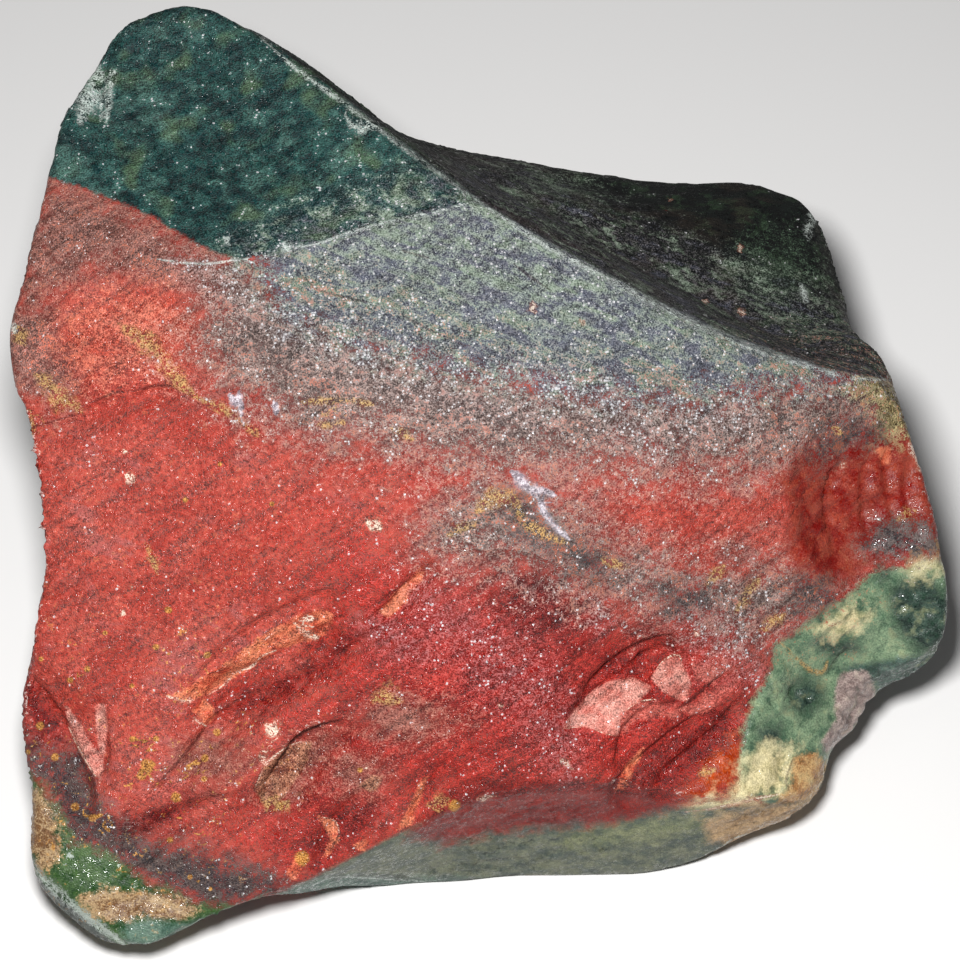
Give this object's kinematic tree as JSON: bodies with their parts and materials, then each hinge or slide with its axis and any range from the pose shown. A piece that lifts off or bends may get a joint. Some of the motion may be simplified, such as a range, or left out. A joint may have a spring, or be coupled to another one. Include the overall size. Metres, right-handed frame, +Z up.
{
  "type": "rough bloodstone",
  "caption": "Rough, hand-sized lump of red and green bloodstone, broken on all sides, resting on a flat fracture face.",
  "frame": {"origin": "middle of the stone's outline seen from above, at the height of the face that it rests on", "axes": "+Z up; +X along the stone's width, towards the end with the ribbed hollow; -Y towards the low front edge of the broad red face"},
  "size_m": [0.0958, 0.0932, 0.0549],
  "materials": {
    "bloodstone": "waxy, rough broken"
  },
  "bodies": {
    "root": {"bloodstone": "bloodstone"}
  },
  "joints": []
}
